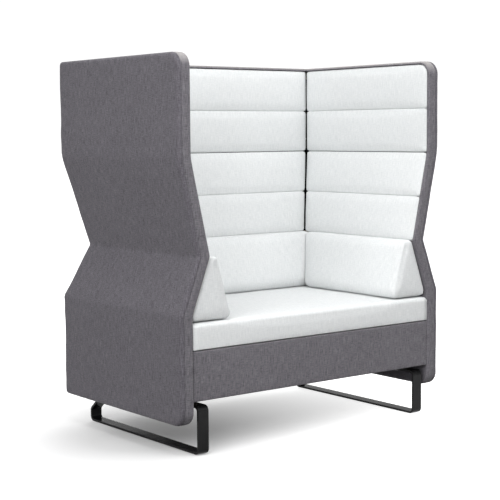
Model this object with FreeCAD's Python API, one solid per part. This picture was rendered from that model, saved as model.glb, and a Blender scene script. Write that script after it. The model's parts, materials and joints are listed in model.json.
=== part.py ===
import FreeCAD, Part
import math
import os

from FreeCAD import Placement, Rotation, Vector

# A high-back two-seat privacy sofa. Three upholstered panels, folded in at a waist, stand round a seat
# on two sled legs. Millimetres, +Z up, front towards -Y. The origin lies on the floor, under the middle
# of the sofa's box.

# Overall size
overall_width = 1250.0
overall_depth = 800.0
overall_height = 1400.0

# Panels: heights of the folds, and how far the waist stands in from the upright faces
panel_bottom = 111.0
lower_fold = 498.0
waist = 699.0
upper_fold = 1040.0
waist_inset = 76.0
outer_foam = 10.0
board_thickness = 18.0
inner_foam = 28.0
panel_corner_radius = 50.0
panel_edge_radius = 12.0
fold_radius = 30.0

# Padded rows, seated on the boards in a recess of each panel's inner side
pad_thickness = 34.0
pad_crown = 6.0
pad_edge_radius = 14.0
pad_corner_radius = 12.0
pad_row_gap = 2.0
pad_rim_gap = 2.0
pad_top_margin = 11.0
pad_front_margin = 8.0
pad_waist_lap = 7.0
pad_corner_gap = 4.0
pad_board_thickness = 5.0
pad_wrap = 14.0

# Seat base
base_bottom = 195.0
base_height = 177.0
base_setback = 5.0
rail_thickness = 22.0
border_thickness = 8.0
border_wrap = 3.0
border_lap = 12.0
cross_rail_height = 80.0
cross_rail_spacing = 380.0
corner_block_leg = 70.0
corner_block_height = 90.0
batten_width = 45.0
batten_height = 40.0
dust_cover_thickness = 1.0

# Elastic webbing
strap_width = 60.0
strap_thickness = 1.5
lengthwise_straps = 8
crosswise_straps = 4
strap_end_margin = 70.0

# Loose cushions
seat_thickness = 100.0
seat_crown = 6.0
seat_front_fall = 14.0
seat_fall_length = 260.0
seat_front_bulge = 3.0
seat_front_radius = 28.0
seat_edge_radius = 14.0
wedge_over_waist = 2.0
wedge_top_thickness = 36.0
wedge_nose = 180.0
wedge_bulge = 7.0
wedge_nose_radius = 30.0
wedge_top_radius = 15.0
wedge_back_radius = 45.0
wedge_end_radius = 12.0
arm_setback = 15.0
cushion_clearance = 0.4

# Sled legs: one flat bar bent to a closed loop, leaning forward under the back panel
bar_width = 45.0
bar_thickness = 8.0
bar_bend_radius = 20.0
sled_top = 176.0
sled_setback = 12.0
sled_length = 731.0
sled_rear_rise = 52.0
sled_top_length = 582.0
spacer_width = 40.0
spacer_setback = 64.0
spacer_length = 470.0

# Floor glides, pressed into the runners
glide_radius = 11.0
glide_thickness = 3.0
glide_stem_radius = 4.0
glide_stem_length = 6.0
glide_inset = 70.0

# Bolts and tee nuts
bolt_radius = 4.0
bolt_head_radius = 8.0
bolt_head_height = 5.0
tee_flange_radius = 11.0
tee_flange_thickness = 2.0
tee_barrel_radius = 5.5
tee_barrel_length = 12.0
bolt_clearance = 0.3
thread_clearance = 0.1
leg_bolts_per_sled = 3
leg_bolt_margin = 50.0
panel_bolt_margin = 130.0
panel_bolt_low = 280.0
panel_bolt_rise = 55.0

# Steel angles that tie the panels together in the inner corners
angle_leg = 22.0
angle_thickness = 2.5
angle_margin = 45.0
angle_screws_per_leg = 2
angle_screw_inset = 13.0
screw_radius = 2.0
screw_head_radius = 4.0
screw_head_height = 1.6
screw_length = 14.0
screw_clearance = 0.25

# Places closer than this count as one
NEAR = 1e-3

# A corner with this radius is rounded as far as its two sides allow
FULL = None
SIDE_SHARE = 0.49

# Fasteners and their holes are drawn with few sides
ROD_SIDES = 6

# Values that follow from the sizes above
panel_thickness = outer_foam + board_thickness + inner_foam
pocket_floor = outer_foam + board_thickness
half_width = overall_width / 2
front = -overall_depth / 2
rear = overall_depth / 2
side_face = half_width - panel_thickness
rear_face = rear - panel_thickness
upper_rise = upper_fold - waist
upper_angle = math.atan2(waist_inset, upper_rise)
upper_slope = math.hypot(waist_inset, upper_rise)
pad_head = overall_height - pad_top_margin
pad_front = front + pad_front_margin
pad_head_radius = panel_corner_radius - pad_top_margin
base_front = front + base_setback
base_top = base_bottom + base_height
rail_bottom = base_bottom + border_wrap
rail_top = base_top - border_wrap
rail_front = base_front + border_thickness
rail_side = side_face - rail_thickness
rail_rear = rear_face - rail_thickness
batten_middle = rail_side - batten_width / 2
dust_bottom = rail_bottom - dust_cover_thickness
seat_bottom = base_top + cushion_clearance
seat_top = seat_bottom + seat_thickness
wedge_bottom = seat_top + cushion_clearance
wedge_top = waist + wedge_over_waist
sled_front = front + sled_setback
sled_rear = sled_front + sled_length
spacer_front = sled_front + spacer_setback
far = overall_width + overall_depth + overall_height


def space_xy(x, y):
    return Vector(x, y, 0)


def space_xz(x, z):
    return Vector(x, 0, z)


def space_yz(y, z):
    return Vector(0, y, z)


def rounded_wire(points, radii, space):
    """Closed outline through flat points, with an arc of the given radius at each corner."""
    flat = [Vector(a, b, 0) for a, b in points]
    starts, middles, ends = [], [], []
    for i, corner in enumerate(flat):
        before = flat[i - 1] - corner
        after = flat[(i + 1) % len(flat)] - corner
        limit = SIDE_SHARE * min(before.Length, after.Length)
        half = before.getAngle(after) / 2
        wanted = limit if radii[i] is FULL else radii[i] / math.tan(half)
        reach = min(wanted, limit)
        before.normalize()
        after.normalize()
        bisector = before + after
        bisector.normalize()
        radius = reach * math.tan(half)
        starts.append(corner + before * reach)
        middles.append(corner + bisector * (radius / math.sin(half) - radius))
        ends.append(corner + after * reach)
    edges = []
    for i in range(len(flat)):
        start, middle, end = (space(v.x, v.y) for v in (starts[i], middles[i], ends[i]))
        if (end - start).Length > NEAR:
            edges.append(Part.Arc(start, middle, end).toShape())
        following = starts[(i + 1) % len(flat)]
        following = space(following.x, following.y)
        if (following - end).Length > NEAR:
            edges.append(Part.makeLine(end, following))
    return Part.Wire(edges)


def prism(points, radii, space, offset, length):
    """Solid of an outline, moved by offset along its normal and carried on by length."""
    normal = space(1, 0).cross(space(0, 1))
    face = Part.Face(rounded_wire(points, radii, space))
    face.translate(normal * offset)
    return face.extrude(normal * length)


def plain_prism(points, space, offset, length):
    return prism(points, [0.0] * len(points), space, offset, length)


def box(low, high):
    size = Vector(*high) - Vector(*low)
    return Part.makeBox(size.x, size.y, size.z, Vector(*low))


def mirrored(shape):
    return shape.mirror(Vector(0, 0, 0), Vector(1, 0, 0))


def both_sides(shapes):
    return shapes + [mirrored(s) for s in shapes]


def rod(base, axis, radius, length):
    """A straight rod with a few flat sides, from base along axis."""
    points = []
    for i in range(ROD_SIDES):
        turn = 2 * math.pi * i / ROD_SIDES
        points.append((radius * math.cos(turn), radius * math.sin(turn)))
    solid = plain_prism(points, space_xy, 0.0, length)
    solid.Placement = Placement(Vector(*base), Rotation(Vector(0, 0, 1), Vector(*axis)))
    return solid


def spread(low, high, count):
    """Evenly spaced places from low to high, both included."""
    step = (high - low) / (count - 1)
    return [low + step * i for i in range(count)]


# Panels


def inset_at(z):
    """How far a panel's face stands in from its upright parts, at height z."""
    if z <= lower_fold or z >= upper_fold:
        return 0.0
    if z <= waist:
        return waist_inset * (z - lower_fold) / (waist - lower_fold)
    return waist_inset * (upper_fold - z) / upper_rise


def panel_section():
    """Outline of a panel seen from its end, as distance in from the outer face and height."""
    levels = [panel_bottom, lower_fold, waist, upper_fold, overall_height]
    outer = [(inset_at(z), z) for z in levels]
    inner = [(inset_at(z) + panel_thickness, z) for z in reversed(levels)]
    folds = [0.0, fold_radius, fold_radius, fold_radius, 0.0]
    return outer + inner, folds + folds


def side_outline(margin):
    """Side view of a side panel, with rounded front corners, drawn in by margin on three sides."""
    radius = panel_corner_radius - margin
    low, high = panel_bottom + margin, overall_height - margin
    points = [(front + margin, low), (far, low), (far, high), (front + margin, high)]
    return prism(points, [radius, 0.0, 0.0, radius], space_yz, -far, 2 * far)


def at_rim(edge):
    return edge.BoundBox.ZMin < panel_bottom + NEAR or edge.BoundBox.ZMax > overall_height - NEAR


def rounds_off(edge):
    """True for the long edges round the rim of a panel, and false for the folds across it."""
    box_of = edge.BoundBox
    if box_of.XLength < NEAR and box_of.ZLength < NEAR:
        return at_rim(edge)
    across = box_of.YLength < NEAR and box_of.ZLength < NEAR
    at_far_end = box_of.YMax > far - NEAR
    return not across and not at_far_end


def left_cover_block():
    section, radii = panel_section()
    points = [(u - half_width, z) for u, z in section]
    block = prism(points, radii, space_xz, -far, 2 * far).common(side_outline(0.0))
    return block.makeFillet(panel_edge_radius, [e for e in block.Edges if rounds_off(e)])


def back_cover_block():
    section, radii = panel_section()
    points = [(rear - u, z) for u, z in section]
    block = prism(points, radii, space_yz, -far, 2 * far)
    rims = [e for e in block.Edges if e.BoundBox.XLength > far and at_rim(e)]
    return block.makeFillet(panel_edge_radius, rims)


def board_blocks(place, space):
    """The four flat boards of a panel as long prisms; place turns distance in from outside into a coordinate."""
    low, high = panel_bottom + outer_foam, overall_height - outer_foam
    levels = [low, lower_fold, waist, upper_fold, high]
    boards = []
    for z0, z1 in zip(levels, levels[1:]):
        u0, u1 = inset_at(z0) + outer_foam, inset_at(z1) + outer_foam
        quad = [(u0, z0), (u0 + board_thickness, z0), (u1 + board_thickness, z1), (u1, z1)]
        boards.append(plain_prism([(place(u), z) for u, z in quad], space, -far, 2 * far))
    return boards


def mitre_waste(of_side_panel):
    """What a mitre through the left rear corner takes off the side panel, or off the back panel."""
    corner = (-half_width - far, rear + far)
    along = (-half_width + far, rear - far)
    third = (far, rear + far) if of_side_panel else (-half_width - far, rear - far)
    return plain_prism([corner, along, third], space_xy, -far, 2 * far)


def on_slope(along, out):
    """Place on the boards above the waist, up their slope and out from them, as distance in and height."""
    lean_in, lean_up = math.sin(upper_angle), math.cos(upper_angle)
    return pocket_floor + waist_inset - along * lean_in + out * lean_up, waist + along * lean_up + out * lean_in


def pad_pocket(place, space):
    """The recess for the padded rows as a long prism; place turns distance in from outside into a coordinate."""
    lap = -pad_waist_lap - pad_rim_gap
    head = pad_head + pad_rim_gap
    foot, rim = on_slope(lap, 0.0), on_slope(lap, panel_thickness)
    outline = [foot, (pocket_floor, upper_fold), (pocket_floor, head), (rim[0], head), rim]
    return plain_prism([(place(u), z) for u, z in outline], space, -far, 2 * far)


def pocket_ends():
    """Side view of the recess in a side panel, with its rounded front corner."""
    low, head = pad_front - pad_rim_gap, pad_head + pad_rim_gap
    points = [(low, panel_bottom), (far, panel_bottom), (far, head), (low, head)]
    return prism(points, [0.0, 0.0, 0.0, pad_head_radius + pad_rim_gap], space_yz, -far, 2 * far)


def left_panel():
    waste = mitre_waste(True)
    pocket = pad_pocket(lambda u: u - half_width, space_xz).common(pocket_ends())
    cover = left_cover_block().cut([waste, pocket])
    outline = side_outline(outer_foam)
    blocks = board_blocks(lambda u: u - half_width, space_xz)
    boards = [b.common(outline).cut(waste) for b in blocks]
    return cover, boards


def back_panel():
    waste = mitre_waste(False)
    wastes = [waste, mirrored(waste)]
    pocket = pad_pocket(lambda u: rear - u, space_yz)
    cover = back_cover_block().cut(wastes + [pocket])
    blocks = board_blocks(lambda u: rear - u, space_yz)
    boards = [b.cut(wastes) for b in blocks]
    return cover, boards


# Padded rows


def pad_rows():
    """Lean, height and foot of each row on the boards, from the top row down."""
    fold_trim = pad_thickness * math.tan(upper_angle / 2) + pad_row_gap / 2
    foot = upper_fold + fold_trim
    upright = (pad_head - foot - pad_row_gap) / 2
    sloped = (upper_slope - fold_trim + pad_waist_lap - pad_row_gap) / 2
    rows = []
    for step in (1, 0):
        rows.append({"lean": 0.0, "height": upright, "u": pocket_floor,
                     "z": foot + step * (upright + pad_row_gap)})
    for step in (1, 0):
        u, z = on_slope(step * (sloped + pad_row_gap) - pad_waist_lap, 0.0)
        rows.append({"lean": upper_angle, "height": sloped, "u": u, "z": z})
    return rows


def pad_end_inset(row, along):
    """How far in from a panel's outer face the pads' faces are, at a place up the row."""
    z = row["z"] + along * math.cos(row["lean"]) + pad_thickness * math.sin(row["lean"])
    return inset_at(z) + pocket_floor + pad_thickness / math.cos(row["lean"]) + pad_corner_gap


def pad_and_board(row, lows, highs, radii):
    """A crowned pad on its board, lying along x, standing up z and facing y.

    lows and highs are its two ends, each at its foot and at its head.
    """
    height = row["height"]
    shoulder = pad_thickness - pad_crown
    side = [(0.0, 0.0), (shoulder, 0.0), (pad_thickness, height / 2), (shoulder, height), (0.0, height)]
    swell = prism(side, [0.0, pad_edge_radius, FULL, pad_edge_radius, 0.0], space_yz, -far, 2 * far)

    ends = []
    for low, high, z in ((lows[0], highs[0], 0.0), (lows[1], highs[1], height)):
        plan = [(low, 0.0), (high, 0.0), (high, pad_thickness), (low, pad_thickness)]
        wire = rounded_wire(plan, [0.0, 0.0, pad_edge_radius, pad_edge_radius], space_xy)
        wire.translate(Vector(0, 0, z))
        ends.append(wire)
    length = Part.makeLoft(ends, True, True)

    outline = [(lows[0], 0.0), (highs[0], 0.0), (highs[1], height), (lows[1], height)]
    face = prism(outline, radii, space_xz, -far, 2 * far)

    inner = [(lows[0] + pad_wrap, pad_wrap), (highs[0] - pad_wrap, pad_wrap),
             (highs[1] - pad_wrap, height - pad_wrap), (lows[1] + pad_wrap, height - pad_wrap)]
    board = plain_prism(inner, space_xz, -pad_board_thickness, pad_board_thickness)
    return swell.common(length).common(face).cut(board), board


def stood_up(shapes, row, outward, origin):
    """Carry pieces from lying along x to a row of the panel whose way out of the sofa is given."""
    lean = row["lean"]
    face = Vector(0, 0, 1) * math.sin(lean) - outward * math.cos(lean)
    up = Vector(0, 0, 1) * math.cos(lean) + outward * math.sin(lean)
    turn = Rotation(face.cross(up), face, up, "ZXY")
    for shape in shapes:
        shape.Placement = Placement(origin, turn)
    return shapes


def left_pads():
    pads, boards = [], []
    for i, row in enumerate(pad_rows()):
        tops = (0.0, row["height"])
        rears = [pad_end_inset(row, along) - rear for along in tops]
        fronts = [-pad_front] * 2
        head_radius = pad_head_radius if i == 0 else pad_corner_radius
        radii = [pad_corner_radius, pad_corner_radius, head_radius, pad_corner_radius]
        pair = pad_and_board(row, rears, fronts, radii)
        origin = Vector(row["u"] - half_width, 0, row["z"])
        pad, board = stood_up(pair, row, Vector(-1, 0, 0), origin)
        pads.append(pad)
        boards.append(board)
    return pads, boards


def back_pads():
    pads, boards = [], []
    for row in pad_rows():
        tops = (0.0, row["height"])
        rights = [half_width - pad_end_inset(row, along) for along in tops]
        lefts = [-x for x in rights]
        pair = pad_and_board(row, lefts, rights, [pad_corner_radius] * 4)
        origin = Vector(0, rear - row["u"], row["z"])
        pad, board = stood_up(pair, row, Vector(0, 1, 0), origin)
        pads.append(pad)
        boards.append(board)
    return pads, boards


# Loose cushions


def wedge_back():
    """The side of a wedge cushion along a panel's inner face, from its head to its foot, and its corner radii."""
    gap = 2 * cushion_clearance
    points = [(waist_inset + cushion_clearance + gap, wedge_top)]
    radii = [wedge_end_radius]
    if lower_fold > wedge_bottom:
        points.append((gap, lower_fold))
        radii.append(wedge_back_radius)
    points.append((inset_at(wedge_bottom) + gap, wedge_bottom))
    radii.append(wedge_end_radius)
    return points, radii


def wedge_section():
    """Outline of the wedge cushions, as distance in from a panel's upright inner face and height."""
    top_front = waist_inset + wedge_top_thickness
    middle = ((top_front + wedge_nose) / 2, (wedge_top + wedge_bottom) / 2)
    lean = math.atan2(wedge_nose - top_front, wedge_top - wedge_bottom)
    swell = (middle[0] + wedge_bulge * math.cos(lean), middle[1] + wedge_bulge * math.sin(lean))
    back, back_radii = wedge_back()
    points = [(wedge_nose, wedge_bottom), swell, (top_front, wedge_top)] + back
    return points, [wedge_nose_radius, FULL, wedge_top_radius] + back_radii


def back_cushion():
    section, radii = wedge_section()
    swell = prism([(rear_face - v, z) for v, z in section], radii, space_yz, -far, 2 * far)
    end, end_radii = wedge_back()
    right = [(side_face - v, z) for v, z in end]
    left = [(v - side_face, z) for v, z in reversed(end)]
    return swell.common(prism(right + left, end_radii + end_radii[::-1], space_xz, -far, 2 * far))


def left_arm_cushion():
    section, radii = wedge_section()
    swell = prism([(v - side_face, z) for v, z in section], radii, space_xz, -far, 2 * far)
    foot_rear = rear_face - wedge_nose - wedge_bulge - cushion_clearance
    head_rear = rear_face - waist_inset - wedge_top_thickness - wedge_bulge - cushion_clearance
    arm_front = front + arm_setback
    points = [(arm_front, wedge_bottom), (foot_rear, wedge_bottom), (head_rear, wedge_top), (arm_front, wedge_top)]
    return swell.common(prism(points, [wedge_end_radius] * 4, space_yz, -far, 2 * far))


def seat_cushion():
    end = side_face - cushion_clearance
    back = rear_face - cushion_clearance
    crest = seat_top + seat_crown
    side = [(back, seat_bottom), (base_front, seat_bottom),
            (base_front - seat_front_bulge, seat_bottom + seat_thickness / 2),
            (base_front, crest - seat_front_fall), (base_front + seat_fall_length, crest),
            (rear_face - wedge_nose, seat_top), (back, seat_top)]
    side_radii = [0.0, seat_edge_radius, FULL, seat_front_radius, FULL, 0.0, seat_edge_radius]
    swell = prism(side, side_radii, space_yz, -far, 2 * far)
    level = side_face - wedge_nose
    view = [(-end, seat_bottom), (end, seat_bottom), (end, seat_top), (level, seat_top),
            (0.0, crest), (-level, seat_top), (-end, seat_top)]
    view_radii = [seat_edge_radius, seat_edge_radius, seat_edge_radius, 0.0, FULL, 0.0, seat_edge_radius]
    return swell.common(prism(view, view_radii, space_xz, -far, 2 * far))


# Seat base


def seat_frame():
    """Rails, cross rails, corner blocks and leg battens."""
    pieces = {
        "front_rail": box((-side_face, rail_front, rail_bottom),
                          (side_face, rail_front + rail_thickness, rail_top)),
        "rear_rail": box((-side_face, rail_rear, rail_bottom), (side_face, rear_face, rail_top)),
    }
    inner_front = rail_front + rail_thickness
    left_rail = box((-side_face, inner_front, rail_bottom), (-rail_side, rail_rear, rail_top))
    batten_top = rail_bottom + batten_height
    left_batten = box((-rail_side, inner_front, rail_bottom), (-rail_side + batten_width, rail_rear, batten_top))
    pieces["left_rail"] = left_rail
    pieces["right_rail"] = mirrored(left_rail)
    pieces["left_leg_batten"] = left_batten
    pieces["right_leg_batten"] = mirrored(left_batten)

    cross_left = -(cross_rail_spacing + rail_thickness) / 2
    cross = box((cross_left, inner_front, rail_bottom),
                (cross_left + rail_thickness, rail_rear, rail_bottom + cross_rail_height))
    pieces["cross_rails"] = Part.makeCompound(both_sides([cross]))

    blocks = []
    for y, way in ((inner_front, 1.0), (rail_rear, -1.0)):
        points = [(-rail_side, y), (-rail_side + corner_block_leg, y), (-rail_side, y + way * corner_block_leg)]
        blocks.append(plain_prism(points, space_xy, rail_top - corner_block_height, corner_block_height))
    pieces["corner_blocks"] = Part.makeCompound(both_sides(blocks))
    return pieces


def base_border():
    """Padded border folded over and under the front rail."""
    lap = rail_front + border_lap
    points = [(base_front, base_bottom), (lap, base_bottom), (lap, rail_bottom), (rail_front, rail_bottom),
              (rail_front, rail_top), (lap, rail_top), (lap, base_top), (base_front, base_top)]
    radii = [border_wrap, 0.0, 0.0, 0.0, 0.0, 0.0, 0.0, border_wrap]
    return prism(points, radii, space_yz, -side_face, 2 * side_face)


def webbing():
    """Straps from front to rear, and straps from side to side on top of them."""
    lengthwise, crosswise = [], []
    reach = side_face - strap_end_margin
    for x in spread(-reach, reach, lengthwise_straps):
        lengthwise.append(box((x - strap_width / 2, rail_front + border_lap, rail_top),
                              (x + strap_width / 2, rear_face, rail_top + strap_thickness)))
    first = rail_front + rail_thickness + strap_end_margin
    for y in spread(first, rail_rear - strap_end_margin, crosswise_straps):
        crosswise.append(box((-side_face, y - strap_width / 2, rail_top + strap_thickness),
                             (side_face, y + strap_width / 2, rail_top + 2 * strap_thickness)))
    return lengthwise, crosswise


def dust_cover():
    return box((-side_face, rail_front + border_lap, dust_bottom), (side_face, rear_face, rail_bottom))


# Legs


def inward(points, distance):
    """The outline drawn in by distance; its points run anticlockwise."""
    drawn = []
    for i, (a, b) in enumerate(points):
        before = Vector(a - points[i - 1][0], b - points[i - 1][1], 0)
        after = Vector(points[(i + 1) % len(points)][0] - a, points[(i + 1) % len(points)][1] - b, 0)
        before.normalize()
        after.normalize()
        n0 = Vector(-before.y, before.x, 0)
        n1 = Vector(-after.y, after.x, 0)
        shift = (n0 + n1) * (distance / (1 + n0.dot(n1)))
        drawn.append((a + shift.x, b + shift.y))
    return drawn


def left_sled():
    outer = [(sled_front, glide_thickness), (sled_rear, glide_thickness), (sled_rear, sled_rear_rise),
             (sled_front + sled_top_length, sled_top), (sled_front, sled_top)]
    low = -batten_middle - bar_width / 2
    solid = prism(outer, [bar_bend_radius] * len(outer), space_yz, low, bar_width)
    inner_radius = bar_bend_radius - bar_thickness
    hole = prism(inward(outer, bar_thickness), [inner_radius] * len(outer), space_yz, -far, 2 * far)
    return solid.cut(hole)


def left_spacer():
    middle = -batten_middle
    return box((middle - spacer_width / 2, spacer_front, sled_top),
               (middle + spacer_width / 2, spacer_front + spacer_length, dust_bottom))


def left_glides(radius, stem_length):
    """Floor glides, as a foot with a stem of the given size."""
    glides = []
    for y in (sled_front + glide_inset, sled_rear - glide_inset):
        foot = rod((-batten_middle, y, 0), (0, 0, 1), glide_radius, glide_thickness)
        stem = rod((-batten_middle, y, glide_thickness), (0, 0, 1), radius, stem_length)
        glides.append(foot.fuse(stem))
    return glides


# Fasteners


def bolt(base, axis, length):
    """A bolt whose head seats at base, with its shank along axis."""
    head_base = Vector(*base) - Vector(*axis) * bolt_head_height
    head = rod(head_base, axis, bolt_head_radius, bolt_head_height)
    return head.fuse(rod(base, axis, bolt_radius, length))


def tee_nut(seat, axis):
    """A tee nut whose flange seats at seat, with its barrel back along axis."""
    flange = rod(seat, axis, tee_flange_radius, tee_flange_thickness)
    barrel_base = Vector(*seat) - Vector(*axis) * tee_barrel_length
    barrel = rod(barrel_base, axis, tee_barrel_radius, tee_barrel_length)
    bore = rod(barrel_base, axis, bolt_radius + thread_clearance, tee_barrel_length + tee_flange_thickness)
    return flange.fuse(barrel).cut(bore)


def bolt_hole(base, axis, length):
    return rod(base, axis, bolt_radius + bolt_clearance, length)


def tee_hole(seat, axis):
    """Room for a tee nut: its barrel in the timber and its flange in the foam."""
    barrel_base = Vector(*seat) - Vector(*axis) * (tee_barrel_length + bolt_clearance)
    barrel = rod(barrel_base, axis, tee_barrel_radius + bolt_clearance, tee_barrel_length + bolt_clearance)
    pocket = rod(seat, axis, tee_flange_radius + bolt_clearance, tee_flange_thickness + bolt_clearance)
    return barrel.fuse(pocket)


def bolted(base, axis, length):
    """A bolt with its tee nut, and the holes that the pair needs."""
    seat = Vector(*base) + Vector(*axis) * length
    pair = bolt(base, axis, length), tee_nut(seat, axis)
    return pair, [bolt_hole(base, axis, length), tee_hole(seat, axis)]


def left_leg_fasteners():
    ys = spread(spacer_front + leg_bolt_margin, spacer_front + spacer_length - leg_bolt_margin, leg_bolts_per_sled)
    base = sled_top - bar_thickness
    length = rail_bottom + batten_height - base
    return [bolted((-batten_middle, y, base), (0, 0, 1), length) for y in ys]


def panel_bolt_length():
    return rail_thickness + inner_foam + board_thickness


def panel_bolt_heights():
    return (panel_bolt_low, panel_bolt_low + panel_bolt_rise)


def left_panel_fasteners():
    ys = (rail_front + panel_bolt_margin, rail_rear - panel_bolt_margin)
    return [bolted((-rail_side, y, z), (-1, 0, 0), panel_bolt_length()) for y in ys for z in panel_bolt_heights()]


def back_panel_fasteners():
    reach = rail_side - panel_bolt_margin
    return [bolted((x, rail_rear, z), (0, 1, 0), panel_bolt_length())
            for x in (-reach, reach) for z in panel_bolt_heights()]


def angle_wire(z):
    """Section of the left corner angle where it lies on the boards, at height z."""
    x, y = inset_at(z) + pocket_floor - half_width, rear - pocket_floor - inset_at(z)
    points = [(x, y), (x, y - angle_leg), (x + angle_thickness, y - angle_leg),
              (x + angle_thickness, y - angle_thickness), (x + angle_leg, y - angle_thickness), (x + angle_leg, y)]
    wire = rounded_wire(points, [0.0] * len(points), space_xy)
    wire.translate(Vector(0, 0, z))
    return wire


def left_corner_angle():
    """An angle down the left inner corner, bent at the upper fold, and its screws with their holes."""
    high = overall_height - angle_margin
    upright = Part.makeLoft([angle_wire(upper_fold), angle_wire(high)], True, True)
    sloped = Part.makeLoft([angle_wire(waist), angle_wire(upper_fold)], True, True)
    angle = upright.fuse(sloped).removeSplitter()
    x, y = pocket_floor - half_width, rear - pocket_floor
    screws, holes = [], []
    for z in spread(upper_fold + angle_margin, high - angle_margin, angle_screws_per_leg):
        for seat, axis in (((x + angle_thickness, y - angle_screw_inset, z), (-1, 0, 0)),
                           ((x + angle_screw_inset, y - angle_thickness, z + angle_leg / 2), (0, 1, 0))):
            head_base = Vector(*seat) - Vector(*axis) * screw_head_height
            head = rod(head_base, axis, screw_head_radius, screw_head_height)
            screws.append(head.fuse(rod(seat, axis, screw_radius, screw_length)))
            holes.append(rod(seat, axis, screw_radius + screw_clearance, screw_length + screw_clearance))
    return angle, screws, holes


def build():
    parts = seat_frame()
    left_cover, left_boards = left_panel()
    back_cover, back_boards = back_panel()
    angle, screws, screw_holes = left_corner_angle()
    side_fasteners = left_panel_fasteners()
    rear_fasteners = back_panel_fasteners()
    leg_fasteners = left_leg_fasteners()

    side_holes = [hole for _, holes in side_fasteners for hole in holes]
    rear_holes = [hole for _, holes in rear_fasteners for hole in holes]
    leg_holes = [hole for _, holes in leg_fasteners for hole in holes]
    back_screw_holes = both_sides(screw_holes)

    left_cover = left_cover.cut(left_boards + side_holes)
    left_boards = [b.cut(side_holes + screw_holes) for b in left_boards]
    back_cover = back_cover.cut(back_boards + rear_holes)
    back_boards = [b.cut(rear_holes + back_screw_holes) for b in back_boards]
    parts["left_panel_cover"] = left_cover
    parts["right_panel_cover"] = mirrored(left_cover)
    parts["back_panel_cover"] = back_cover
    parts["left_panel_boards"] = Part.makeCompound(left_boards)
    parts["right_panel_boards"] = mirrored(Part.makeCompound(left_boards))
    parts["back_panel_boards"] = Part.makeCompound(back_boards)

    side_pads, side_pad_boards = left_pads()
    rear_pads, rear_pad_boards = back_pads()
    for number, (side, back) in enumerate(zip(side_pads, rear_pads), 1):
        parts[f"left_pad_{number}"] = side
        parts[f"right_pad_{number}"] = mirrored(side)
        parts[f"back_pad_{number}"] = back
    parts["left_pad_boards"] = Part.makeCompound(side_pad_boards)
    parts["right_pad_boards"] = mirrored(Part.makeCompound(side_pad_boards))
    parts["back_pad_boards"] = Part.makeCompound(rear_pad_boards)

    arm = left_arm_cushion()
    parts["left_arm_cushion"] = arm
    parts["right_arm_cushion"] = mirrored(arm)
    parts["back_cushion"] = back_cushion()
    parts["seat_cushion"] = seat_cushion()

    parts["left_rail"] = parts["left_rail"].cut(side_holes)
    parts["right_rail"] = mirrored(parts["left_rail"])
    parts["rear_rail"] = parts["rear_rail"].cut(rear_holes)
    parts["left_leg_batten"] = parts["left_leg_batten"].cut(leg_holes)
    parts["right_leg_batten"] = mirrored(parts["left_leg_batten"])
    parts["base_border"] = base_border()
    lengthwise, crosswise = webbing()
    parts["lengthwise_webbing"] = Part.makeCompound(lengthwise)
    parts["crosswise_webbing"] = Part.makeCompound(crosswise)
    parts["dust_cover"] = dust_cover().cut(both_sides(leg_holes))

    stem_holes = left_glides(glide_stem_radius + bolt_clearance, glide_stem_length + bolt_clearance)
    sled = left_sled().cut(leg_holes + stem_holes)
    spacer = left_spacer().cut(leg_holes)
    parts["left_sled"] = sled
    parts["right_sled"] = mirrored(sled)
    parts["left_sled_spacer"] = spacer
    parts["right_sled_spacer"] = mirrored(spacer)
    parts["floor_glides"] = Part.makeCompound(both_sides(left_glides(glide_stem_radius, glide_stem_length)))

    leg_pairs = [pair for pair, _ in leg_fasteners]
    side_pairs = [pair for pair, _ in side_fasteners]
    rear_pairs = [pair for pair, _ in rear_fasteners]
    parts["leg_bolts"] = Part.makeCompound(both_sides([b for b, _ in leg_pairs]))
    parts["leg_tee_nuts"] = Part.makeCompound(both_sides([n for _, n in leg_pairs]))
    parts["panel_bolts"] = Part.makeCompound(both_sides([b for b, _ in side_pairs]) + [b for b, _ in rear_pairs])
    parts["panel_tee_nuts"] = Part.makeCompound(both_sides([n for _, n in side_pairs]) + [n for _, n in rear_pairs])

    angle = angle.cut(screw_holes)
    parts["left_corner_angle"] = angle
    parts["right_corner_angle"] = mirrored(angle)
    parts["corner_screws"] = Part.makeCompound(both_sides(screws))
    return parts


os.makedirs("parts", exist_ok=True)
for name, shape in build().items():
    shape.exportStep(f"parts/{name}.step")
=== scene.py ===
import json
import math

import bmesh
import bpy
import numpy as np
from mathutils import Matrix, Vector


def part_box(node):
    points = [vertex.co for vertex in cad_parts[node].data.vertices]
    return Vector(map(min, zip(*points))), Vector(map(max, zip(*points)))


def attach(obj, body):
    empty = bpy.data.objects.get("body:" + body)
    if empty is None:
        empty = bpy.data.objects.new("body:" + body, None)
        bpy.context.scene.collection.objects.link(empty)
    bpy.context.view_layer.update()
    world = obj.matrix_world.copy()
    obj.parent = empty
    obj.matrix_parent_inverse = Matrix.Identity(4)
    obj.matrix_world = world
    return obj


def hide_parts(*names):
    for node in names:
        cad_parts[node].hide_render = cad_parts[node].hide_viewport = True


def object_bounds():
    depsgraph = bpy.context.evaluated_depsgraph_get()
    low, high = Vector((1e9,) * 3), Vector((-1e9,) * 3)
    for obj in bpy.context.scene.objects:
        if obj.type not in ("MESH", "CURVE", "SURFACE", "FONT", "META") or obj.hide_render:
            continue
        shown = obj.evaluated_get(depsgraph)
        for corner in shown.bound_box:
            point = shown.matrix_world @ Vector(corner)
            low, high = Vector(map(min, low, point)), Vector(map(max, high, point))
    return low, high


# A high-back two-seat privacy sofa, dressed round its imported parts. Metres, +Z up, front towards -Y.

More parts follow.
